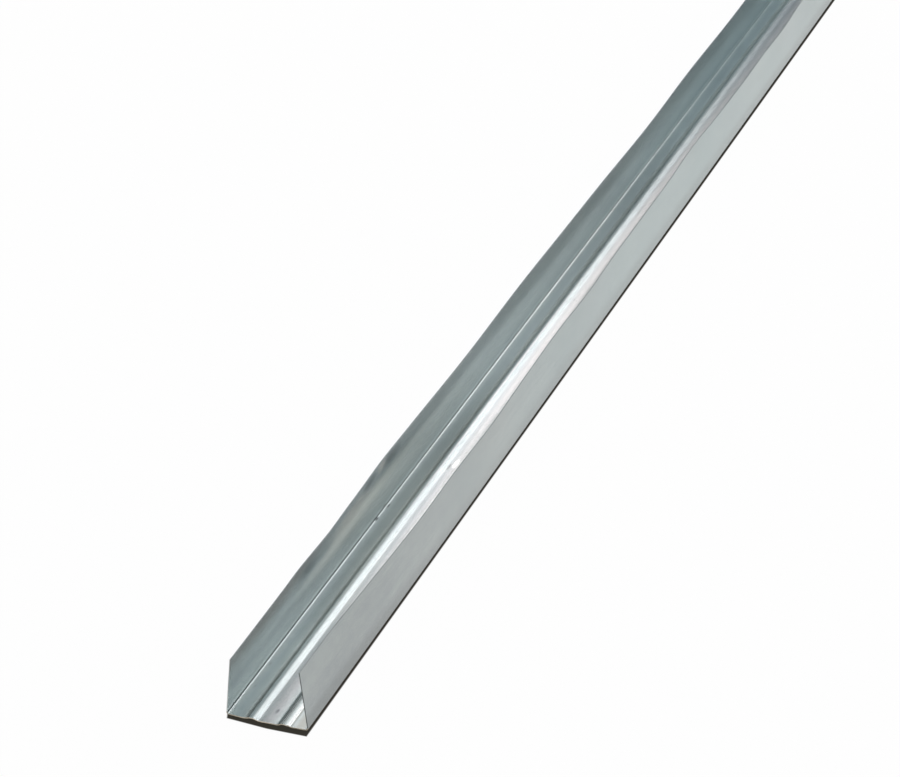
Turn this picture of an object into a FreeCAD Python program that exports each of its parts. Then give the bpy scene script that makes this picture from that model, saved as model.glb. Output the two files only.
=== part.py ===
"""Drywall track: a long channel, roll-formed from one strip of thin galvanised steel.

The web has two raised stiffening ribs, each side turns up through a rounded bend, and the two
flanges toe in a little, so that they spring apart and grip the end of a stud.
+X runs across the web, +Y along the stock and +Z up out of the channel. The origin is in the
middle of the web's underside, halfway along. Sizes are in millimetres, and toe_in and the slopes
in degrees.
"""

import FreeCAD, Part
import math
import os
from enum import IntEnum
from typing import NamedTuple
import Sketcher

NODE = "track"

# Driving dimensions: name, value and what it measures
DIMENSIONS = [
    ("stock_length", 3048.0, "length that the stock is cut to, 10 ft"),
    ("stud_depth", 41.3, "depth of the stud that stands in the track, 1-5/8 in"),
    ("stud_clearance", 0.15, "room left over between the bends once the stud is in"),
    ("flange_height", 31.75, "overall height, 1-1/4 in, from the underside to the flange's edge"),
    ("toe_in", 2.4, "how far each flange leans in from upright"),
    ("sheet_thickness", 0.48, "25 gauge steel sheet"),
    ("bend_radius", 0.8, "inside radius of the bend between web and flange"),
    ("rib_gap", 8.8, "width of the flat between the two ribs"),
    ("rib_rise", 0.84, "height of a rib above the flat of the web"),
    ("inner_slope", 16.0, "slope of the side of a rib that faces the other rib"),
    ("inner_foot_radius", 2.0, "inside radius of the fold at that side's foot"),
    ("outer_slope", 20.0, "slope of the side of a rib that faces the flange"),
    ("outer_foot_radius", 5.0, "inside radius of the fold at that side's foot"),
    ("rib_crest_radius", 4.8, "inside radius of the round along the top of a rib"),
]


class Spot(IntEnum):
    """A sketch's own numbers for the points of a line or an arc."""

    START = 1
    END = 2
    CENTRE = 3


class Axis(IntEnum):
    """A sketch's own numbers for its axes. The start of the X axis is the origin."""

    X = -1
    Y = -2


class Fold(NamedTuple):
    """One fold of the sheet, on the way from the middle of the web to the flange's edge."""

    name: str
    x: float  # centre, the same for both faces of the sheet
    z: float
    inside: float  # radius on the inside of the fold
    radius_cell: str  # the dimension that sets that radius
    heading: float  # the sheet's direction after the fold, in radians from +X
    turns_up: bool  # the centre is above a fold that turns up, and below one that turns down


def add_dimensions(doc):
    """Put the driving dimensions in a sheet, one row each, and return the sheet."""
    sheet = doc.addObject("Spreadsheet::Sheet", "dims")
    for row, (name, value, meaning) in enumerate(DIMENSIONS, start=1):
        sheet.set(f"A{row}", name)
        sheet.set(f"B{row}", str(value))
        sheet.setAlias(f"B{row}", name)
        sheet.set(f"C{row}", meaning)
    doc.recompute()
    return sheet


def run_of_side(sheet, foot, slope):
    """Return how far the side of a rib runs across, from the centre of its foot to its crest's."""
    radii = foot + sheet.sheet_thickness + sheet.rib_crest_radius
    straight_climb = sheet.rib_rise - radii * (1 - math.cos(slope))
    return radii * math.sin(slope) + straight_climb / math.tan(slope)


def folds_of_half_section(sheet):
    """List the folds of half the section: the three of a rib, then the bend to the flange."""
    inner = math.radians(sheet.inner_slope)
    outer = math.radians(sheet.outer_slope)
    flange = math.radians(90 + sheet.toe_in)
    foot_in = sheet.inner_foot_radius
    foot_out = sheet.outer_foot_radius
    crest = sheet.rib_crest_radius

    foot_in_x = sheet.rib_gap / 2
    foot_in_z = foot_in + sheet.sheet_thickness
    crest_x = foot_in_x + run_of_side(sheet, foot_in, inner)
    crest_z = sheet.rib_rise - crest
    foot_out_x = crest_x + run_of_side(sheet, foot_out, outer)
    foot_out_z = foot_out + sheet.sheet_thickness
    bend_x = (sheet.stud_depth + sheet.stud_clearance) / 2 - sheet.bend_radius
    bend_z = sheet.bend_radius + sheet.sheet_thickness
    return [
        Fold("foot_in", foot_in_x, foot_in_z, foot_in, "dims.inner_foot_radius", inner, True),
        Fold("crest", crest_x, crest_z, crest, "dims.rib_crest_radius", -outer, False),
        Fold("foot_out", foot_out_x, foot_out_z, foot_out, "dims.outer_foot_radius", 0.0, True),
        Fold("bend", bend_x, bend_z, sheet.bend_radius, "dims.bend_radius", flange, True),
    ]


def tie(sketch, kind, *places):
    """Add a geometric constraint between places in the sketch."""
    sketch.addConstraint(Sketcher.Constraint(kind, *places))


def measure(sketch, name, formula, kind, *places):
    """Add a named size whose value follows a formula of the sheet's cells.

    The last of the places is the size that the sketch was drawn with.
    """
    index = sketch.addConstraint(Sketcher.Constraint(kind, *places))
    sketch.renameConstraint(index, name)
    sketch.setExpression(f"Constraints.{name}", formula)


def draw_face(sketch, sheet, folds, upper):
    """Draw one face of the sheet as lines joined by tangent arcs, from the web's middle outwards.

    Returns the lines and the arcs, each in that order.
    """
    here = FreeCAD.Vector(0, sheet.sheet_thickness if upper else 0, 0)
    heading = 0.0
    chain = []
    for fold in folds:
        on_inside = fold.turns_up == upper
        radius = fold.inside if on_inside else fold.inside + sheet.sheet_thickness
        circle = Part.Circle(FreeCAD.Vector(fold.x, fold.z, 0), FreeCAD.Vector(0, 0, 1), radius)
        to_sheet = -math.pi / 2 if fold.turns_up else math.pi / 2
        arc = Part.ArcOfCircle(circle, *sorted((heading + to_sheet, fold.heading + to_sheet)))
        ends = [(arc.StartPoint, Spot.START), (arc.EndPoint, Spot.END)]
        if not fold.turns_up:
            ends.reverse()
        (entry_point, entry), (exit_point, leaving) = ends
        line = sketch.addGeometry(Part.LineSegment(here, entry_point))
        chain.append((line, Spot.START, Spot.END))
        chain.append((sketch.addGeometry(arc), entry, leaving))
        here = exit_point
        heading = fold.heading

    lean = math.radians(sheet.toe_in)
    edge_z = sheet.flange_height - (sheet.sheet_thickness * math.sin(lean) if upper else 0)
    edge_x = here.x - (edge_z - here.y) * math.tan(lean)
    flange = sketch.addGeometry(Part.LineSegment(here, FreeCAD.Vector(edge_x, edge_z, 0)))
    chain.append((flange, Spot.START, Spot.END))

    for (item, _, leaving), (following, entry, _) in zip(chain, chain[1:]):
        tie(sketch, "Tangent", item, leaving, following, entry)
    indices = [item for item, _, _ in chain]
    return indices[0::2], indices[1::2]


def close_outline(sketch, under_line, over_line, end):
    """Join the same end of an under line and an over line, and return the joining line."""
    first = sketch.getPoint(under_line, end)
    second = sketch.getPoint(over_line, end)
    line = sketch.addGeometry(Part.LineSegment(first, second))
    tie(sketch, "Coincident", line, Spot.START, under_line, end)
    tie(sketch, "Coincident", line, Spot.END, over_line, end)
    return line


def origin_plane(body, role):
    """Return the body's own origin plane with the given role."""
    return next(plane for plane in body.Origin.OriginFeatures if plane.Role == role)


def add_half_section(body, sheet):
    """Draw half of the rolled section, from the middle of the web to the edge of one flange."""
    sketch = body.newObject("Sketcher::SketchObject", "half_section")
    sketch.AttachmentSupport = (origin_plane(body, "XZ_Plane"), "")
    sketch.MapMode = "FlatFace"

    folds = folds_of_half_section(sheet)
    under, under_arcs = draw_face(sketch, sheet, folds, upper=False)
    over, over_arcs = draw_face(sketch, sheet, folds, upper=True)
    flat_in, side_in, side_out, flat_out, flange = under
    foot_arc, crest_arc = under_arcs[:2]
    close_outline(sketch, flat_in, over[0], Spot.START)
    cut_edge = close_outline(sketch, flange, over[-1], Spot.END)

    # The web's underside lies on the X axis on both sides of a rib
    tie(sketch, "Coincident", flat_in, Spot.START, Axis.X, Spot.START)
    tie(sketch, "Horizontal", flat_in)
    tie(sketch, "Horizontal", flat_out)
    tie(sketch, "PointOnObject", flat_out, Spot.START, Axis.X)

    # The two faces run side by side: both arcs of a fold have one centre
    tie(sketch, "PointOnObject", over[0], Spot.START, Axis.Y)
    tie(sketch, "Horizontal", over[0])
    tie(sketch, "Parallel", over[-1], flange)
    tie(sketch, "Perpendicular", cut_edge, flange)
    for under_arc, over_arc in zip(under_arcs, over_arcs):
        tie(sketch, "Coincident", over_arc, Spot.CENTRE, under_arc, Spot.CENTRE)

    # Radii of the folds: the sheet's thickness is what the outside has over the inside
    for fold, under_arc, over_arc in zip(folds, under_arcs, over_arcs):
        inner, outer = (over_arc, under_arc) if fold.turns_up else (under_arc, over_arc)
        outside = fold.inside + sheet.sheet_thickness
        outside_formula = f"{fold.radius_cell} + dims.sheet_thickness"
        measure(sketch, f"{fold.name}_inside", fold.radius_cell, "Radius", inner, fold.inside)
        measure(sketch, f"{fold.name}_outside", outside_formula, "Radius", outer, outside)

    # Place, slopes and height of the rib
    measure(sketch, "half_gap_of_ribs", "dims.rib_gap / 2", "Distance", flat_in, sheet.rib_gap / 2)
    measure(sketch, "inner_slope", "dims.inner_slope", "Angle", side_in, folds[0].heading)
    measure(sketch, "outer_slope", "-dims.outer_slope", "Angle", side_out, folds[1].heading)
    measure(sketch, "drop_to_crest_centre",
            "dims.inner_foot_radius + dims.sheet_thickness + dims.rib_crest_radius - dims.rib_rise",
            "DistanceY", crest_arc, Spot.CENTRE, foot_arc, Spot.CENTRE, folds[0].z - folds[1].z)

    # Place of the bend, lean and height of the flange
    measure(sketch, "bend_centre", "(dims.stud_depth + dims.stud_clearance) / 2 - dims.bend_radius",
            "DistanceX", Axis.X, Spot.START, under_arcs[-1], Spot.CENTRE, folds[-1].x)
    measure(sketch, "flange_lean", "90 + dims.toe_in", "Angle", flange, folds[-1].heading)
    measure(sketch, "flange_height", "dims.flange_height",
            "DistanceY", Axis.X, Spot.START, flange, Spot.END, sheet.flange_height)
    return sketch


def add_track(doc, sheet):
    """Make the track: half the section, run out to the stock's length and mirrored."""
    body = doc.addObject("PartDesign::Body", "track_body")
    body.Label = NODE
    section = add_half_section(body, sheet)
    doc.recompute()

    half = body.newObject("PartDesign::Pad", "rolled_half")
    half.Profile = section
    half.SideType = "Symmetric"
    half.setExpression("Length", "dims.stock_length")
    doc.recompute()

    whole = body.newObject("PartDesign::Mirrored", "both_halves")
    whole.Originals = [half]
    whole.MirrorPlane = (origin_plane(body, "YZ_Plane"), [""])
    body.Tip = whole
    body.Placement = FreeCAD.Placement()
    doc.recompute()
    return body


def check(doc, body):
    """Stop if any object of the document failed, or the track isn't one sound solid."""
    for item in doc.Objects:
        if "Invalid" in item.State or "Error" in item.State:
            raise RuntimeError(f"{item.Name} failed: {item.State}")
    shape = body.Shape
    if shape.isNull() or not shape.isValid() or len(shape.Solids) != 1:
        raise RuntimeError(f"{body.Label} isn't one valid solid")


def main():
    """Build the document, check it and write the track's solid."""
    doc = FreeCAD.newDocument("drywall_track")
    sheet = add_dimensions(doc)
    body = add_track(doc, sheet)
    check(doc, body)
    os.makedirs("parts", exist_ok=True)
    body.Shape.exportStep(f"parts/{body.Label}.step")
    box = body.Shape.BoundBox
    print(f"{body.Label}: {box.XLength:.2f} x {box.YLength:.2f} x {box.ZLength:.2f} mm, "
          f"{body.Shape.Volume / 1000:.2f} cubic cm, {len(body.Shape.Faces)} faces")


main()
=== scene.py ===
"""Looks of the drywall track: the rolled sheet as it came off the pack, its zinc and its studio.

Everything is in metres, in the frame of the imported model: +X across the web, +Y along the stock,
+Z up out of the channel, with the origin in the middle of the web's underside.
"""

import logging
import math
from dataclasses import dataclass
from enum import Enum, IntEnum

import bmesh
import bpy
from mathutils import Matrix, Vector


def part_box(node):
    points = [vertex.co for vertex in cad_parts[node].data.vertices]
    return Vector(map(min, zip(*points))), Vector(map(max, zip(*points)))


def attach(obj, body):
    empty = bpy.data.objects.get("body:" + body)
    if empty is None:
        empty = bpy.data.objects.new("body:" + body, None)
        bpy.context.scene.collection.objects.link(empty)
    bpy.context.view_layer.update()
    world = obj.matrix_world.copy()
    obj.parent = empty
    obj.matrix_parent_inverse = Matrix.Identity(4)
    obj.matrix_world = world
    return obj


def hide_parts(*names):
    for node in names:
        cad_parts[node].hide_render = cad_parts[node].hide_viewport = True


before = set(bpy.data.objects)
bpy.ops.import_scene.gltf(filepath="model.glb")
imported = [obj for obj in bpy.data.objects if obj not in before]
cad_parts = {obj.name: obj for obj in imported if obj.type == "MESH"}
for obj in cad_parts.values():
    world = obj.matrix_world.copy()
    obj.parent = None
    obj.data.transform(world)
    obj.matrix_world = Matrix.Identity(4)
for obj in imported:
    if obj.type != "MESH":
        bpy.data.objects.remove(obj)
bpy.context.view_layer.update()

MM = 0.001
NODE = "track"
WHITE = "FFFFFF"
log = logging.getLogger("drywall_track")

# Points of the sheet nearer to each other than this are one point
SAME_POINT = 0.001 * MM

# Sockets of the Mix node when it mixes colours
MIX_FACTOR, MIX_A, MIX_B, MIX_RESULT = 0, 6, 7, 2


class Side(Enum):
    """The two flanges, by the sign of their X."""

    LEFT = -1.0
    RIGHT = 1.0


class FaceKind(IntEnum):
    """Material slots of the sheet: its zinc faces, slit edges, sheared web ends, and the right flange's
    ends, darkened as painted shade.
    """

    ZINC = 0
    SLIT_EDGE = 1
    WEB_END = 2
    FLANGE_END = 3


def linear(hex_colour: str) -> tuple[float, float, float, float]:
    """Turn an sRGB hex colour into linear values.

    Args:
        hex_colour: six hex digits, red first.

    Returns:
        Linear red, green, blue and an alpha of 1.
    """
    channels = []
    # The sRGB curve is straight near black and a power above that
    for start in (0, 2, 4):
        value = int(hex_colour[start:start + 2], 16) / 255
        channels.append(value / 12.92 if value <= 0.04045 else ((value + 0.055) / 1.055) ** 2.4)
    return (*channels, 1.0)


def add_node(tree: bpy.types.NodeTree, kind: str, inputs: dict[str | int, object] | None = None,
             **settings: object) -> bpy.types.Node:
    """Add a node, set it up and link it.

    Args:
        tree: the node tree to add to.
        kind: the node's Blender type.
        inputs: socket name or number to a value, or to the output socket that feeds it.
        settings: properties of the node itself.

    Returns:
        The new node.
    """
    node = tree.nodes.new(kind)
    for name, value in settings.items():
        setattr(node, name, value)
    for key, value in (inputs or {}).items():
        if isinstance(value, bpy.types.NodeSocket):
            tree.links.new(value, node.inputs[key])
        else:
            node.inputs[key].default_value = value
    return node


def new_material(name: str) -> tuple[bpy.types.Material, bpy.types.NodeTree]:
    """Make an empty node material.

    Args:
        name: the material's name.

    Returns:
        The material and its node tree.
    """
    material = bpy.data.materials.new(name)
    material.use_nodes = True
    material.node_tree.nodes.clear()
    return material, material.node_tree


@dataclass(frozen=True)
class MarkOrPaintedLight:
    """A soft-edged patch of colour on the zinc, in millimetres from the near end's middle: some are
    stains and rubbed spots, and most are painted highlights, reflections and shade.

    It has its full strength over its core, which is a share of its reach, and fades out from there.
    """

    across: float
    along: float
    up: float
    reach: tuple[float, float, float]
    colour: str
    strength: float
    core: float = 0.2

    def lay(self, tree: bpy.types.NodeTree, place: bpy.types.NodeSocket,
            under: bpy.types.NodeSocket, near_end: float) -> bpy.types.NodeSocket:
        """Lay the patch over a colour.

        Args:
            tree: the material's node tree.
            place: the coordinates to read.
            under: the colour under the patch.
            near_end: Y of the near end of the stock.

        Returns:
            The colour with the patch on it.
        """
        middle = Vector((self.across, self.along, self.up)) * MM + Vector((0, near_end, 0))
        inside = add_node(tree, "ShaderNodeMapping",
                          {"Vector": place, "Scale": Vector(self.reach) * MM, "Location": middle},
                          vector_type="TEXTURE")
        distance = add_node(tree, "ShaderNodeVectorMath", {0: inside.outputs["Vector"]},
                            operation="LENGTH")
        share = add_node(tree, "ShaderNodeMapRange",
                         {"Value": distance.outputs["Value"], "From Min": 1.0,
                          "From Max": self.core, "To Max": self.strength},
                         interpolation_type="SMOOTHSTEP")
        mixed = add_node(tree, "ShaderNodeMix",
                         {MIX_FACTOR: share.outputs["Result"], MIX_A: under,
                          MIX_B: linear(self.colour)}, data_type="RGBA")
        return mixed.outputs[MIX_RESULT]


@dataclass(frozen=True)
class GalvanisedSheet:
    """Hot-dip galvanised steel, skin-passed smooth and then rolled.

    The zinc is a cool grey metal with a satin gloss. Rolling leaves faint lines along the stock,
    the spangle shows as soft flecks a few millimetres wide, and handling leaves pale and dark
    specks.
    """

    name: str = "galvanised_steel_rolled"
    pale: str = "B3BFBC"
    dull: str = "919CA0"
    # Bright facets and dull ones lie side by side, so the eye sees sharp glints in a soft haze.
    # They are too fine to show one by one: their grain only mixes the two within a pixel.
    gloss: float = 0.20
    haze: float = 0.62
    grain: float = 0.05 * MM
    grain_low: float = 0.47
    grain_high: float = 0.57
    # Real rolling lines are some tenths of a millimetre apart, too fine to show, so these are coarser
    line_spacing: float = 1.4 * MM
    line_length: float = 260 * MM
    line_detail: float = 3.0
    line_depth: float = 0.02 * MM
    line_strength: float = 0.5
    # The zinc's crystals, and the clouds where it cooled unevenly
    spangle: float = 5 * MM
    cloud_across: float = 14 * MM
    cloud_along: float = 90 * MM
    cloud_detail: float = 4.0
    # What each of them adds to the tone between dull and pale
    line_share: float = 0.35
    cloud_share: float = 0.50
    spangle_share: float = 0.15
    # Patches laid over the tone: stains, specks and rubs, and painted highlights, reflections and shade
    marks_and_painted_light: tuple[MarkOrPaintedLight, ...] = ()

    def material(self, near_end: float) -> bpy.types.Material:
        """Make the node material.

        Args:
            near_end: Y of the near end of the stock.

        Returns:
            The material.
        """
        material, tree = new_material(self.name)
        place = add_node(tree, "ShaderNodeTexCoord").outputs["Object"]
        lines = self._streaks(tree, place, self.line_spacing, self.line_length, self.line_detail)
        clouds = self._streaks(tree, place, self.cloud_across, self.cloud_along, self.cloud_detail)
        flecks = add_node(tree, "ShaderNodeTexVoronoi",
                          {"Vector": place, "Scale": 1 / self.spangle, "Randomness": 1.0},
                          feature="SMOOTH_F1")
        fleck_tone = add_node(tree, "ShaderNodeSeparateColor", {"Color": flecks.outputs["Color"]})

        tone = add_node(tree, "ShaderNodeMath", {0: lines, 1: self.line_share},
                        operation="MULTIPLY").outputs[0]
        tone = add_node(tree, "ShaderNodeMath", {0: clouds, 1: self.cloud_share, 2: tone},
                        operation="MULTIPLY_ADD").outputs[0]
        tone = add_node(tree, "ShaderNodeMath",
                        {0: fleck_tone.outputs["Red"], 1: self.spangle_share, 2: tone},
                        operation="MULTIPLY_ADD").outputs[0]
        colour = add_node(tree, "ShaderNodeMix",
                          {MIX_FACTOR: tone, MIX_A: linear(self.dull), MIX_B: linear(self.pale)},
                          data_type="RGBA").outputs[MIX_RESULT]
        # Stains and rubs, and painted highlights, reflections and shade, over the tone
        for patch in self.marks_and_painted_light:
            colour = patch.lay(tree, place, colour, near_end)

        grain = add_node(tree, "ShaderNodeTexNoise",
                         {"Vector": place, "Scale": 1 / self.grain, "Detail": 0.0})
        rough = add_node(tree, "ShaderNodeMapRange",
                         {"Value": grain.outputs["Fac"], "From Min": self.grain_low,
                          "From Max": self.grain_high, "To Min": self.gloss, "To Max": self.haze})
        bump = add_node(tree, "ShaderNodeBump",
                        {"Height": lines, "Distance": self.line_depth,
                         "Strength": self.line_strength})
        shader = add_node(tree, "ShaderNodeBsdfPrincipled",
                          {"Base Color": colour, "Metallic": 1.0,
                           "Roughness": rough.outputs["Result"], "Normal": bump.outputs["Normal"]})
        add_node(tree, "ShaderNodeOutputMaterial", {"Surface": shader.outputs["BSDF"]})
        return material

    def _streaks(self, tree: bpy.types.NodeTree, place: bpy.types.NodeSocket, across: float,
                 along: float, detail: float) -> bpy.types.NodeSocket:
        """Add uneven streaks drawn out along the stock.

        Args:
            tree: the material's node tree.
            place: the coordinates to read.
            across: size of a streak across the sheet.
            along: size of a streak along the stock.
            detail: how many finer layers the streaks have.

        Returns:
            The streaks' tone, around a half.
        """
        stretch = add_node(tree, "ShaderNodeMapping",
                           {"Vector": place, "Scale": (1 / across, 1 / along, 1 / across)})
        noise = add_node(tree, "ShaderNodeTexNoise",
                         {"Vector": stretch.outputs["Vector"], "Scale": 1.0, "Detail": detail})
        return noise.outputs["Fac"]


# Left flange: darker, browner patches under its free edge and paler and darker patches below them,
# painted light along its foot against the shade in the corner, a painted highlight along its bend, and
# a painted bluish sheen further along
LEFT_FLANGE_PATCHES_AND_PAINTED_LIGHT = (
    MarkOrPaintedLight(-20, 50, 32, (9, 110, 11), "857F79", 0.55),
    MarkOrPaintedLight(-20, 98, 26, (6, 15, 5), "6F7B80", 0.5),
    MarkOrPaintedLight(-20, 200, 20, (4, 130, 5), "C2C6BF", 0.5),
    MarkOrPaintedLight(-20, 230, 17, (4, 220, 14), "C8CECB", 0.36),
    MarkOrPaintedLight(-20.4, 250, 9, (4, 400, 9.5), "C8CECB", 0.62),
    MarkOrPaintedLight(-20, 158, 18.5, (4, 85, 8), "E8E8E0", 0.56),
    MarkOrPaintedLight(-20, 225, 10.5, (4, 95, 7), "E8ECE8", 0.38),
    MarkOrPaintedLight(-20, 385, 24, (4, 75, 8), "6F7B7D", 0.2),
    MarkOrPaintedLight(-20, 152, 25.5, (4, 46, 8), "D2CEC6", 0.65),
    MarkOrPaintedLight(-20, 201, 29.5, (4, 10, 4.5), "D0D0CA", 0.7),
    MarkOrPaintedLight(-20, 182, 29, (4, 13, 4.5), "667276", 0.75),
    MarkOrPaintedLight(-20, 216, 28.5, (4, 18, 5), "667174", 0.7),
    # Painted light: paler along the foot of the flange, against the shade in the corner
    MarkOrPaintedLight(-20.4, 900, 7, (1.8, 4000, 9), "DDE6E4", 0.18),
    MarkOrPaintedLight(-20.4, 900, 3.2, (1.4, 4000, 2.2), "DDE6E4", 0.6),
    # Painted highlight along the bend
    MarkOrPaintedLight(-20.6, 620, 1.7, (1.3, 500, 0.9), "F0F4F4", 0.38),
    MarkOrPaintedLight(-20.5, 90, 2.7, (1.4, 260, 0.9), "F4F8F8", 0.3),
    # Painted bluish sheen over the flange and the web further along
    MarkOrPaintedLight(-17, 1000, 14, (14, 520, 40), "A6C4CA", 0.35),
    MarkOrPaintedLight(-20, 580, 17.5, (4, 360, 6.5), "6F7B7D", 0.28),
    MarkOrPaintedLight(-20, 8, 20.5, (4, 55, 10), "6F7B7D", 0.34),
)

# Web: painted reflection and shade, darker and bluer on the strip outside the left rib where it mirrors
# the flange; painted highlights on the left rib, at its inner foot and on the flat between the ribs,
# whose tone is painted reflection too; and painted darker reflection further along
WEB_PAINTED_LIGHT = (
    # Painted reflection and shade: the strip outside the left rib darker and bluer, the rib's outer
    # side paler, more shade near the end
    MarkOrPaintedLight(-16.2, 900, 0.8, (4.2, 4000, 2.2), "728890", 0.27),
    MarkOrPaintedLight(-11.2, 900, 1.3, (1.9, 4000, 1.8), "D6DFDD", 0.62),
    MarkOrPaintedLight(-14.2, 225, 0.9, (8.5, 200, 2.5), "4A5553", 0.52),
    # Painted highlights on the left rib's inner side and at its inner foot
    MarkOrPaintedLight(-7.8, 360, 1.5, (1.15, 220, 1.5), "FFFFFF", 0.36),
    MarkOrPaintedLight(-4.2, 300, 0.6, (1.3, 900, 1.5), "E6EAEC", 0.26),
    # Painted reflection: the flat's bluish-grey tone, and paler and brighter stretches of it
    MarkOrPaintedLight(0, 900, 0.5, (5.5, 4000, 1.2), "BFC1C3", 0.55),
    MarkOrPaintedLight(-1, 500, 0.2, (5, 420, 1.5), "E4E3E0", 0.45),
    MarkOrPaintedLight(1.0, 280, 0.3, (2.1, 270, 1.5), "F6F7F6", 0.66),
    # Painted darker reflection further along
    MarkOrPaintedLight(-4, 1100, 1, (6, 420, 2.5), "7E8B92", 0.72),
)

# Right side: painted highlights and shade on the rib's faces and the strip beside it at the near end,
# then a bluer-green tint over the flange, and painted shade darkening it towards its foot
RIGHT_PAINTED_LIGHT_AND_TINT = (
    # Painted highlights and shade across the right rib's faces and the strip beside it, at the near end
    MarkOrPaintedLight(6.6, 8, 0.9, (1.4, 60, 1.5), "DDE4E2", 0.6),
    MarkOrPaintedLight(8.2, 8, 1.4, (1.4, 60, 1.5), "626B69", 0.75),
    MarkOrPaintedLight(11.2, 8, 1.2, (1.9, 60, 2.0), "F4F8F6", 0.36),
    MarkOrPaintedLight(12.4, 8, 0.5, (0.9, 60, 2), "828884", 0.8),
    MarkOrPaintedLight(17, 8, 0.8, (4.8, 60, 3), "939791", 0.8),
    MarkOrPaintedLight(21, 700, 16, (3, 700, 60), "C8E4E4", 0.3),
    # Painted shade: darker towards the foot of the flange
    MarkOrPaintedLight(21, 20, 2, (3, 200, 10), "7E8788", 0.45),
    MarkOrPaintedLight(21, 800, 1, (3, 1600, 11), "8A9293", 0.3),
)

# Small spots of dirt, and one bright rub with a dark rim
SPOTS = (
    MarkOrPaintedLight(0.9, 10.4, 0.5, (1.3, 3.2, 2), "6E737A", 0.6),
    MarkOrPaintedLight(-18.4, 46.4, 0.6, (0.9, 2.2, 2), "6A7478", 0.6),
    MarkOrPaintedLight(-17.6, 26.2, 0.6, (0.8, 1.8, 2), "6A7478", 0.5),
    MarkOrPaintedLight(-19.5, 208, 0.9, (0.8, 3.2, 1.6), "2E3436", 0.9),
    MarkOrPaintedLight(-20.2, 193, 1.2, (0.8, 3.2, 1.6), "2E3436", 0.9),
    MarkOrPaintedLight(-6.1, 501, 1.2, (0.6, 2.5, 2), "8A8F90", 0.6),
    MarkOrPaintedLight(-3.5, 475, 0.5, (0.6, 2.5, 2), "8A8F90", 0.6),
    MarkOrPaintedLight(-6.6, 470, 1.3, (0.6, 2.5, 2), "8A8F90", 0.6),
    MarkOrPaintedLight(-7.4, 450, 1.5, (0.6, 2.5, 2), "8A8F90", 0.6),
    MarkOrPaintedLight(-3.9, 259, 0.5, (0.9, 5, 2), "7F8282", 0.6),
    MarkOrPaintedLight(-1.6, 263.5, 0.5, (1.7, 6.5, 2), "FFFFFF", 1.0),
)
# Every patch laid on the zinc: real stains, specks and rubs, and painted highlights, reflections and
# shade
STAINS_AND_PAINTED_LIGHT = LEFT_FLANGE_PATCHES_AND_PAINTED_LIGHT + WEB_PAINTED_LIGHT + RIGHT_PAINTED_LIGHT_AND_TINT + SPOTS


@dataclass(frozen=True)
class CutEdge:
    """A cut edge of the strip: bare steel, dark and dull, under smears of the softer zinc. On the web's
    ends the pale smears are also painted highlights, and on the right flange's ends the dark is also
    painted shade.
    """

    name: str
    steel: str
    smear_and_glint: str
    grain: float
    detail: float = 2.0
    roughness: float = 0.5

    def material(self) -> bpy.types.Material:
        """Make the node material.

        Returns:
            The material.
        """
        material, tree = new_material(self.name)
        place = add_node(tree, "ShaderNodeTexCoord").outputs["Object"]
        smears_and_glints = add_node(tree, "ShaderNodeTexNoise",
                          {"Vector": place, "Scale": 1 / self.grain, "Detail": self.detail})
        colour = add_node(tree, "ShaderNodeMix",
                          {MIX_FACTOR: smears_and_glints.outputs["Fac"], MIX_A: linear(self.steel),
                           MIX_B: linear(self.smear_and_glint)}, data_type="RGBA")
        shader = add_node(tree, "ShaderNodeBsdfPrincipled",
                          {"Base Color": colour.outputs[MIX_RESULT], "Metallic": 1.0,
                           "Roughness": self.roughness})
        add_node(tree, "ShaderNodeOutputMaterial", {"Surface": shader.outputs["BSDF"]})
        return material


# Slit along the stock: an even grey line along each free edge
SLIT_FINISH = CutEdge("slit_steel_edge", steel="6E7777", smear_and_glint="8A9393", grain=1.5 * MM)
# Sheared across the web: dark steel with broad pale cream patches, zinc dragged over it and painted
# highlights where its burr catches a warm light
WEB_END_SMEARS_AND_HIGHLIGHTS = CutEdge("sheared_steel_end", steel="5A5546", smear_and_glint="E6E1CE", grain=7 * MM)
# Sheared down the right flange: a plain dark line, bare steel darkened further as painted shade
RIGHT_FLANGE_END_SHADE = CutEdge("right_flange_end_shade", steel="4A5050", smear_and_glint="626A6A", grain=1.5 * MM)


@dataclass(frozen=True)
class EdgeWave:
    """One slow ripple along the free edge of a flange."""

    length: float
    swing: float
    crest_at: float

    def at(self, along: float) -> float:
        """Return how far the ripple pushes the edge in, at a distance along the stock."""
        return self.swing * math.cos(2 * math.pi * (along - self.crest_at) / self.length)


@dataclass(frozen=True)
class EdgeDent:
    """One knock in the free edge of a flange, out of line over a short length."""

    middle: float
    reach: float
    depth: float

    def at(self, along: float) -> float:
        """Return how far the dent pushes the edge in, at a distance along the stock."""
        return self.depth * math.exp(-((along - self.middle) / self.reach) ** 2)


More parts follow.
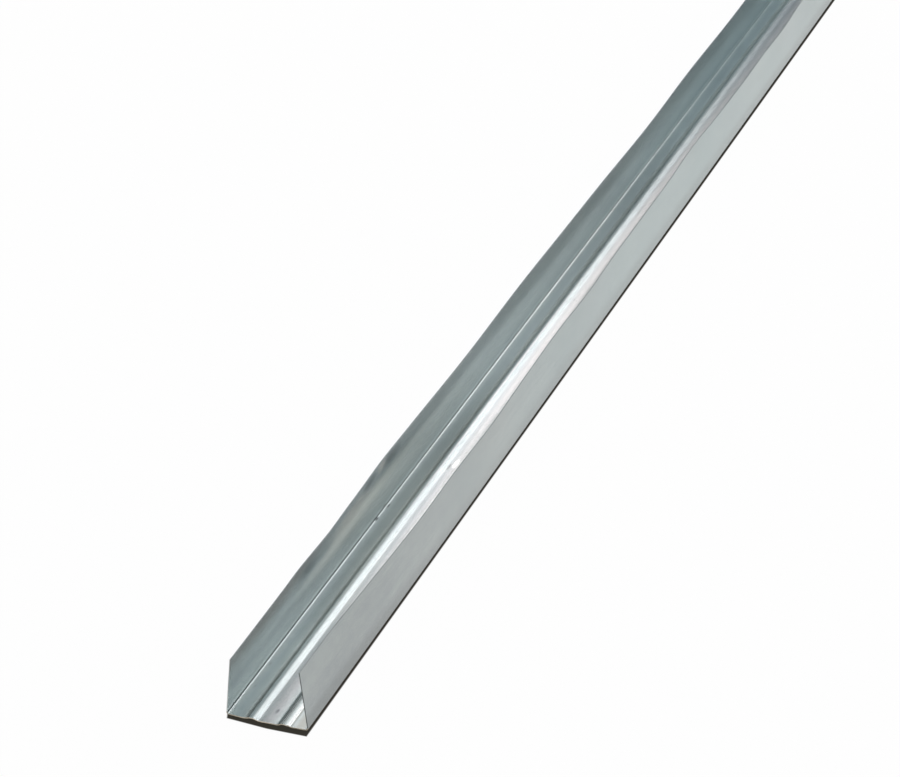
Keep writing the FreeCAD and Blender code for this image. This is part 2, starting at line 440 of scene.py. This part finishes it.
@dataclass(frozen=True)
class FlangeSet:
    """How one flange has sprung: the lift of its foot, its lean and its curl at the cut ends.

    Its free edge also ripples slowly along the stock, and is dented where it was knocked.
    """

    lean: float
    end_curl: float
    foot_lift: float
    end_lift: float
    waves: tuple[EdgeWave, ...]
    dents: tuple[EdgeDent, ...] = ()
    edge_lift: float = 0.7 * MM
    curl_reach: float = 60 * MM
    lift_reach: float = 130 * MM

    def edge_offset(self, along: float, length: float) -> float:
        """Work out how far the free edge stands in from upright.

        Args:
            along: distance from the near end.
            length: length of the stock.

        Returns:
            The offset towards the middle of the channel.
        """
        nearest_end = min(along, length - along)
        curl = self.end_curl * math.exp(-nearest_end / self.curl_reach)
        return self.lean + curl + sum(bend.at(along) for bend in self.waves + self.dents)

    def lift(self, along: float, length: float) -> float:
        """Work out how far the bowed web lifts the foot of the flange.

        Args:
            along: distance from the near end.
            length: length of the stock.

        Returns:
            The lift from where the middle of the web lies.
        """
        nearest_end = min(along, length - along)
        return self.foot_lift + self.end_lift * math.exp(-nearest_end / self.lift_reach)


LEFT_SPRING = FlangeSet(
    lean=2.4 * MM, end_curl=0.25 * MM, foot_lift=0.7 * MM, end_lift=0.0,
    waves=(EdgeWave(175 * MM, 0.25 * MM, 150 * MM),
           EdgeWave(300 * MM, 0.42 * MM, 40 * MM),
           EdgeWave(700 * MM, 0.55 * MM, 30 * MM)),
    dents=(EdgeDent(85 * MM, 14 * MM, -0.35 * MM),
           EdgeDent(125 * MM, 16 * MM, 0.45 * MM),
           EdgeDent(200 * MM, 26 * MM, -0.55 * MM)))
RIGHT_SPRING = FlangeSet(
    lean=0.15 * MM, end_curl=2.1 * MM, foot_lift=-0.45 * MM, end_lift=0.8 * MM,
    waves=(EdgeWave(88 * MM, 0.15 * MM, 29 * MM),
           EdgeWave(150 * MM, 0.42 * MM, 50 * MM),
           EdgeWave(300 * MM, 0.50 * MM, 50 * MM),
           EdgeWave(560 * MM, 0.58 * MM, -8 * MM),
           EdgeWave(900 * MM, 0.30 * MM, 850 * MM)))


@dataclass
class TrackSheet:
    """The rolled strip: a ribbed web, two bends and two flanges, made as one fine sheet."""

    width: float
    length: float
    height: float
    # The section, as the part's source has it but for a rounder outer foot of the ribs
    thickness: float = 0.48 * MM
    bend_inside: float = 0.8 * MM
    rib_start: float = 4.75 * MM
    rib_apex: float = 8.54 * MM
    rib_end: float = 11.52 * MM
    apex_height: float = 1.085 * MM
    inner_foot_fold: float = 2.0 * MM
    outer_foot_fold: float = 8.4 * MM
    crest_fold: float = 4.8 * MM
    # How this length departs from it: the sides of the right rib stray outwards, the more the nearer
    # they are to its crest, which stays, and the flat between the ribs is dished
    right_rib_stray: float = 1.5 * MM
    stray_reach: float = 5.5 * MM
    stray_below: float = 0.6 * MM
    dish: float = 0.52 * MM
    dish_reach: float = 260 * MM
    left: FlangeSet = LEFT_SPRING
    right: FlangeSet = RIGHT_SPRING
    # How finely the sheet is cut up, with more of its rows towards the ends
    fold_segments: int = 8
    web_strip: float = 1.6 * MM
    flange_strip: float = 5 * MM
    rows: int = 320
    end_crowding: float = 0.35
    # Faces that meet at more than this angle, in degrees, keep a sharp edge between them
    sharp_angle: float = 40.0
    # A face whose normal has at least this share along an axis is cut square to it
    square_share: float = 0.9

    @property
    def bend_outside(self) -> float:
        """Radius of a bend on the outside of the sheet."""
        return self.bend_inside + self.thickness

    @property
    def bend_x(self) -> float:
        """Distance of a bend's centre from the middle."""
        return self.width / 2 - self.bend_outside

    @property
    def web_top(self) -> float:
        """Height below which an end face belongs to the web or a bend."""
        return 2 * self.bend_outside

    def build(self) -> bpy.types.Object:
        """Fold, run out, spring and thicken the sheet.

        Returns:
            The finished object, with no material yet.
        """
        sheet = bmesh.new()
        self._fold_half(sheet)
        self._mirror(sheet)
        self._run_out(sheet)
        self._spring(sheet)
        self._thicken(sheet)
        mesh = bpy.data.meshes.new("track_sheet")
        sheet.to_mesh(mesh)
        sheet.free()
        mesh.shade_smooth()
        mesh.set_sharp_from_angle(angle=math.radians(self.sharp_angle))
        piece = bpy.data.objects.new("track_sheet", mesh)
        bpy.context.scene.collection.objects.link(piece)
        # Normals weighed by area keep the wide flats flat to the eye beside the narrow folds
        flats = piece.modifiers.new("flats_stay_flat", "WEIGHTED_NORMAL")
        flats.mode = "FACE_AREA"
        flats.keep_sharp = True
        return piece

    def dress(self, piece: bpy.types.Object, zinc: GalvanisedSheet, slit: CutEdge,
              web_end: CutEdge, flange_end: CutEdge) -> None:
        """Give the faces and the cut edges their finishes, in the order of their slots.

        Args:
            piece: the track's object.
            zinc: finish of the faces.
            slit: finish of the flanges' edges.
            web_end: finish of the ends of the web.
            flange_end: finish of the ends of the right flange, darkened as painted shade.
        """
        piece.data.materials.append(zinc.material(-self.length / 2))
        piece.data.materials.append(slit.material())
        piece.data.materials.append(web_end.material())
        piece.data.materials.append(flange_end.material())

    def _fold_half(self, sheet: bmesh.types.BMesh) -> None:
        """Draw half the underside as a sharp fold line, run it out and round its folds.

        Args:
            sheet: the empty sheet to draw in.
        """
        corner_x = self.width / 2
        line = [Vector(point) for point in (
            (0.0, 0.0),
            (self.rib_start, 0.0),
            (self.rib_apex, self.apex_height),
            (self.rib_end, 0.0),
            (corner_x, 0.0),
            (corner_x, self.height),
        )]
        start = -self.length / 2
        points = [sheet.verts.new((point.x, start, point.y)) for point in line]
        edges = [sheet.edges.new(pair) for pair in zip(points, points[1:])]
        run = bmesh.ops.extrude_edge_only(sheet, edges=edges)
        moved = [item for item in run["geom"] if isinstance(item, bmesh.types.BMVert)]
        bmesh.ops.translate(sheet, vec=(0, self.length, 0), verts=moved)
        radii = (self.inner_foot_fold + self.thickness, self.crest_fold,
                 self.outer_foot_fold + self.thickness, self.bend_outside)
        for before, fold, after, radius in zip(line, line[1:], line[2:], radii):
            turn = (fold - before).angle(after - fold)
            self._round(sheet, fold, radius * math.tan(turn / 2))
        self._divide_across(sheet)

    def _round(self, sheet: bmesh.types.BMesh, fold: Vector, offset: float) -> None:
        """Round the fold that runs along the stock at one point of the fold line.

        Args:
            sheet: the sheet so far.
            fold: distance from the middle and height of the fold.
            offset: how far the round reaches from the sharp fold.
        """
        edges = [edge for edge in sheet.edges
                 if all((vert.co.xz - fold).length < SAME_POINT for vert in edge.verts)]
        bmesh.ops.bevel(sheet, geom=edges, offset=offset, offset_type="OFFSET", affect="EDGES",
                        segments=self.fold_segments, profile=0.5, material=-1)

    def _divide_across(self, sheet: bmesh.types.BMesh) -> None:
        """Cut the wide flats into strips, so that they can bow.

        Args:
            sheet: the folded half of the sheet.
        """
        edges_by_cuts: dict[int, list[bmesh.types.BMEdge]] = {}
        for edge in sheet.edges:
            first, second = (vert.co for vert in edge.verts)
            upright = abs(first.z - second.z) > self.height / 2
            strip = self.flange_strip if upright else self.web_strip
            cuts = round(edge.calc_length() / strip) - 1
            if abs(first.y - second.y) < SAME_POINT and cuts > 0:
                edges_by_cuts.setdefault(cuts, []).append(edge)
        for cuts, edges in edges_by_cuts.items():
            bmesh.ops.subdivide_edges(sheet, edges=edges, cuts=cuts, use_grid_fill=True)

    def _mirror(self, sheet: bmesh.types.BMesh) -> None:
        """Add the other half and turn every face up, into the channel.

        Args:
            sheet: the folded half of the sheet.
        """
        bmesh.ops.mirror(sheet, geom=sheet.verts[:] + sheet.edges[:] + sheet.faces[:],
                         matrix=Matrix.Identity(4), merge_dist=SAME_POINT, axis="X")
        bmesh.ops.remove_doubles(sheet, verts=sheet.verts, dist=SAME_POINT)
        bmesh.ops.recalc_face_normals(sheet, faces=sheet.faces)
        middle = min(sheet.faces, key=lambda face: abs(face.calc_center_median().x))
        if middle.normal.z < 0:
            bmesh.ops.reverse_faces(sheet, faces=sheet.faces)

    def _run_out(self, sheet: bmesh.types.BMesh) -> None:
        """Cut the sheet into rows along the stock, closer together towards its ends.

        Args:
            sheet: the whole folded sheet.
        """
        long_edges = [edge for edge in sheet.edges
                      if abs(edge.verts[0].co.y - edge.verts[1].co.y) > self.length / 2]
        bmesh.ops.subdivide_edges(sheet, edges=long_edges, cuts=self.rows - 1, use_grid_fill=True)
        half = self.length / 2
        for vert in sheet.verts:
            share = vert.co.y / half
            vert.co.y = half * share * (1 + self.end_crowding * (1 - share * share))

    def _spring(self, sheet: bmesh.types.BMesh) -> None:
        """Bow the web and lean, curl and ripple the flanges, as the strip left the rolls.

        Args:
            sheet: the whole folded sheet, cut into rows.
        """
        for vert in sheet.verts:
            side = Side.LEFT if vert.co.x < 0 else Side.RIGHT
            flange = self.left if side is Side.LEFT else self.right
            along = vert.co.y + self.length / 2
            out = abs(vert.co.x)
            rise = self._rise(flange, along, out, vert.co.z)
            if out > self.bend_x + SAME_POINT:
                leaned = self._lean(flange, along, out, vert.co.z)
                vert.co.x = side.value * leaned.x
                vert.co.z = leaned.z
            elif side is Side.RIGHT and vert.co.z < self.stray_below:
                from_crest = abs(out - self.rib_apex) / self.stray_reach
                vert.co.x += self.right_rib_stray * max(0.0, 1 - from_crest)
            vert.co.z += rise

    def _rise(self, flange: FlangeSet, along: float, out: float, height: float) -> float:
        """Work out how far the bow and the dish of the web lift a point of the sheet.

        Args:
            flange: the spring of the flange on the point's side.
            along: distance from the near end.
            out: distance from the middle of the web.
            height: height above the underside, as rolled.

        Returns:
            The lift, below zero where the web is dished.
        """
        foot = flange.lift(along, self.length)
        rise = foot * min(1.0, out / self.bend_x) ** 2
        rise += (flange.edge_lift - foot) * height / self.height
        from_foot = 1 - out / self.rib_start
        from_end = min(along, self.length - along) / self.dish_reach
        return rise - self.dish * max(0.0, from_foot) * (1 - math.exp(-from_end ** 2))

    def _lean(self, flange: FlangeSet, along: float, out: float, height: float) -> Vector:
        """Turn a point of a bend or flange about the bend's centre, less and less down the bend.

        Args:
            flange: the spring of the flange on the point's side.
            along: distance from the near end.
            out: distance from the middle of the web.
            height: height above the underside, as rolled.

        Returns:
            The point's new distance from the middle, as X, and height, as Z.
        """
        lean = math.atan2(flange.edge_offset(along, self.length), self.height)
        centre = Vector((self.bend_x, 0, self.bend_outside))
        arm = Vector((out, 0, height)) - centre
        turned = math.atan2(arm.x, -arm.z) if height < centre.z else math.pi / 2
        share = max(0.0, min(1.0, turned / (math.pi / 2)))
        arm.rotate(Matrix.Rotation(-lean * share, 3, "Y"))
        return centre + arm

    def _thicken(self, sheet: bmesh.types.BMesh) -> None:
        """Give the sheet its thickness, into the channel, and mark its cut edges.

        Args:
            sheet: the sprung sheet, still without thickness.
        """
        bmesh.ops.solidify(sheet, geom=sheet.faces[:], thickness=-self.thickness)
        bmesh.ops.recalc_face_normals(sheet, faces=sheet.faces)
        for face in sheet.faces:
            middle = face.calc_center_median()
            at_end = abs(face.normal.y) > self.square_share
            on_top = face.normal.z > self.square_share and middle.z > self.height / 2
            if at_end and middle.z < self.web_top:
                face.material_index = FaceKind.WEB_END
            # The right flange's ends are drawn dark as painted shade; the left flange's ends keep the
            # zinc
            elif at_end and middle.x > 0:
                face.material_index = FaceKind.FLANGE_END
            elif on_top:
                face.material_index = FaceKind.SLIT_EDGE
            else:
                face.material_index = FaceKind.ZINC


@dataclass(frozen=True)
class StudioPaper:
    """Pale matt paper, white to the eye and to the zinc, and dark under the track that lies over it."""

    half_width: float
    half_length: float
    name: str = "studio_paper"
    paper: str = "F4F4F4"
    # The zinc mirrors a paper that is a little warmer than the white that the camera sees
    glow: str = "FFF7F6"
    shade: str = "33312B"
    white_share: float = 0.98
    # The shade under the track: how far it reaches out, and how its borders turn, in degrees
    shade_blur: float = 0.3 * MM
    shade_left: float = 2.0 * MM
    shade_front: float = 1.5 * MM
    front_from: float = -16 * MM
    side_turn: float = 21.0
    front_turn: float = 5.3
    shade_inset: float = 0.36 * MM
    splay: float = 0.047

    def material(self) -> bpy.types.Material:
        """Make the node material.

        Returns:
            The material.
        """
        material, tree = new_material(self.name)
        path = add_node(tree, "ShaderNodeLightPath").outputs
        glow = add_node(tree, "ShaderNodeMix",
                        {MIX_FACTOR: path["Is Camera Ray"], MIX_A: linear(self.glow),
                         MIX_B: linear(WHITE)}, data_type="RGBA")
        tone = add_node(tree, "ShaderNodeMix",
                        {MIX_FACTOR: self._clear_of_track(tree), MIX_A: linear(self.shade),
                         MIX_B: glow.outputs[MIX_RESULT]}, data_type="RGBA")
        paper = add_node(tree, "ShaderNodeBsdfDiffuse", {"Color": linear(self.paper)})
        white = add_node(tree, "ShaderNodeEmission", {"Color": tone.outputs[MIX_RESULT]})
        seen = path["Is Camera Ray"]
        for kind in ("Is Glossy Ray", "Is Transmission Ray"):
            seen = add_node(tree, "ShaderNodeMath", {0: seen, 1: path[kind]},
                            operation="MAXIMUM").outputs[0]
        share = add_node(tree, "ShaderNodeMath", {0: seen, 1: self.white_share},
                         operation="MULTIPLY")
        shader = add_node(tree, "ShaderNodeMixShader",
                          {0: share.outputs[0], 1: paper.outputs[0], 2: white.outputs[0]})
        add_node(tree, "ShaderNodeOutputMaterial", {"Surface": shader.outputs[0]})
        return material

    def _clear_of_track(self, tree: bpy.types.NodeTree) -> bpy.types.NodeSocket:
        """Add a value that is 0 on the paper under the track and 1 around it.

        Args:
            tree: the paper's node tree.

        Returns:
            The value.
        """
        place = add_node(tree, "ShaderNodeTexCoord").outputs["Object"]
        left, near = -self.half_width, -self.half_length
        # Each border of the shade: the way it faces, in degrees from +X, and a point on it
        borders = (
            (-self.splay, Vector((self.half_width - self.shade_inset, near, 0))),
            (90.0, Vector((0, self.half_length, 0))),
            (180.0, Vector((left - self.shade_left, 0, 0))),
            (180.0 + self.side_turn, Vector((left, near, 0))),
            (270.0 - self.front_turn, Vector((self.front_from, near, 0))),
            (270.0, Vector((0, near - self.shade_front, 0))),
        )
        farthest = None
        for turn, point in borders:
            outward = Vector((math.cos(math.radians(turn)), math.sin(math.radians(turn)), 0))
            limit = outward.dot(point)
            reach = add_node(tree, "ShaderNodeVectorMath", {0: place, 1: outward},
                             operation="DOT_PRODUCT")
            past = add_node(tree, "ShaderNodeMath", {0: reach.outputs["Value"], 1: limit},
                            operation="SUBTRACT").outputs[0]
            if farthest is None:
                farthest = past
            else:
                farthest = add_node(tree, "ShaderNodeMath", {0: farthest, 1: past},
                                    operation="MAXIMUM").outputs[0]
        clear = add_node(tree, "ShaderNodeMapRange",
                         {"Value": farthest, "From Min": -self.shade_blur,
                          "From Max": self.shade_blur})
        return clear.outputs["Result"]


@dataclass(frozen=True)
class Softbox:
    """A soft rectangular studio lamp, placed by its direction from the middle of the view.

    Angles are in degrees, and the azimuth runs from +Y towards +X.
    """

    name: str
    azimuth: float
    elevation: float
    distance: float
    width: float
    height: float
    roll: float
    radiance: float
    colour: str = "FFF7F8"
    aim: tuple[float, float, float] = (0.0, -1.1, 0.0)

    def hang(self) -> None:
        """Add the lamp to the scene, where only the track and the floor see it."""
        lamp = bpy.data.lights.new(self.name, "AREA")
        lamp.shape = "RECTANGLE"
        lamp.size = self.width
        lamp.size_y = self.height
        lamp.energy = self.radiance * math.pi * self.width * self.height
        lamp.color = linear(self.colour)[:3]
        lit = bpy.data.objects.new(self.name, lamp)
        bpy.context.scene.collection.objects.link(lit)
        turn = math.radians(self.azimuth)
        lift = math.radians(self.elevation)
        towards = Vector((math.sin(turn) * math.cos(lift), math.cos(turn) * math.cos(lift),
                          math.sin(lift)))
        aim = towards.to_track_quat("Z", "Y").to_matrix().to_4x4()
        spin = Matrix.Rotation(math.radians(self.roll), 4, "Z")
        lit.matrix_world = Matrix.Translation(Vector(self.aim) + towards * self.distance) @ aim @ spin
        lit.visible_camera = False


@dataclass
class Studio:
    """The plain pale floor, the soft lamps and the room's even light."""

    paper: StudioPaper
    floor_half: float = 60.0
    floor_drop: float = 2.0 * MM
    room: str = "D6DCDF"
    room_strength: float = 0.33
    lamps: tuple[Softbox, ...] = (
        Softbox("left_softbox", azimuth=-24, elevation=36.3, distance=6.0, width=6.4, height=2.0,
                roll=-14, radiance=2.8),
        Softbox("right_softbox", azimuth=31, elevation=33.5, distance=6.0, width=5.4, height=2.6,
                roll=22, radiance=3.0),
        Softbox("right_fill", azimuth=48, elevation=11, distance=6.0, width=4.0, height=2.6,
                roll=0, radiance=1.5),
        Softbox("back_fill", azimuth=180, elevation=28, distance=6.0, width=6.0, height=3.0,
                roll=0, radiance=1.2),
    )

    def build(self) -> None:
        """Lay the floor, hang the lamps and light the room."""
        board = bmesh.new()
        bmesh.ops.create_grid(board, x_segments=1, y_segments=1, size=self.floor_half)
        bmesh.ops.translate(board, vec=(0, 0, -self.floor_drop), verts=board.verts)
        mesh = bpy.data.meshes.new("studio_floor")
        board.to_mesh(mesh)
        board.free()
        floor = bpy.data.objects.new("studio_floor", mesh)
        bpy.context.scene.collection.objects.link(floor)
        mesh.materials.append(self.paper.material())
        for lamp in self.lamps:
            lamp.hang()
        self._light_room()

    def _light_room(self) -> None:
        """Fill the world with even light, white where the camera sees it."""
        world = bpy.data.worlds.new("studio_room")
        world.use_nodes = True
        bpy.context.scene.world = world
        tree = world.node_tree
        tree.nodes.clear()
        even = add_node(tree, "ShaderNodeBackground",
                        {"Color": linear(self.room), "Strength": self.room_strength})
        white = add_node(tree, "ShaderNodeBackground", {"Color": linear(WHITE), "Strength": 1.0})
        path = add_node(tree, "ShaderNodeLightPath")
        shader = add_node(tree, "ShaderNodeMixShader",
                          {0: path.outputs["Is Camera Ray"], 1: even.outputs[0],
                           2: white.outputs[0]})
        add_node(tree, "ShaderNodeOutputWorld", {"Surface": shader.outputs[0]})


@dataclass(frozen=True)
class PhotoCamera:
    """The camera that took the photograph, as worked out from the track's long edges."""

    # The picture's width and the focal length are in pixels, and the sensor is in millimetres
    image_width: float = 900.0
    focal: float = 3063.0
    sensor: float = 36.0
    azimuth: float = 21.01
    elevation: float = 28.06
    roll: float = -1.30
    place: tuple[float, float, float] = (0.5198, -2.6245, 0.8255)
    sight: float = 200.0

    def build(self) -> None:
        """Add the camera and make it the scene's own."""
        data = bpy.data.cameras.new("photo_camera")
        data.sensor_fit = "HORIZONTAL"
        data.sensor_width = self.sensor
        data.lens = self.focal / self.image_width * self.sensor
        data.clip_end = self.sight
        camera = bpy.data.objects.new("photo_camera", data)
        bpy.context.scene.collection.objects.link(camera)
        turn = math.radians(self.azimuth)
        tilt = math.radians(90 - self.elevation)
        roll = math.radians(self.roll)
        aim = (Matrix.Rotation(turn, 4, "Z") @ Matrix.Rotation(tilt, 4, "X")
               @ Matrix.Rotation(roll, 4, "Z"))
        camera.matrix_world = Matrix.Translation(self.place) @ aim
        bpy.context.scene.camera = camera


def main() -> None:
    """Build the studio, the camera and the track."""
    logging.basicConfig(level=logging.INFO)
    bpy.context.scene.view_settings.view_transform = "Standard"
    low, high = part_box(NODE)
    track = TrackSheet(width=high[0] - low[0], length=high[1] - low[1], height=high[2] - low[2])
    Studio(StudioPaper(track.width / 2, track.length / 2)).build()
    PhotoCamera().build()
    piece = track.build()
    track.dress(piece, GalvanisedSheet(marks_and_painted_light=STAINS_AND_PAINTED_LIGHT), SLIT_FINISH, WEB_END_SMEARS_AND_HIGHLIGHTS,
                RIGHT_FLANGE_END_SHADE)
    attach(piece, "root")
    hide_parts(NODE)
    log.info("%s: %d faces", piece.name, len(piece.data.polygons))


if __name__ == "__main__":
    main()
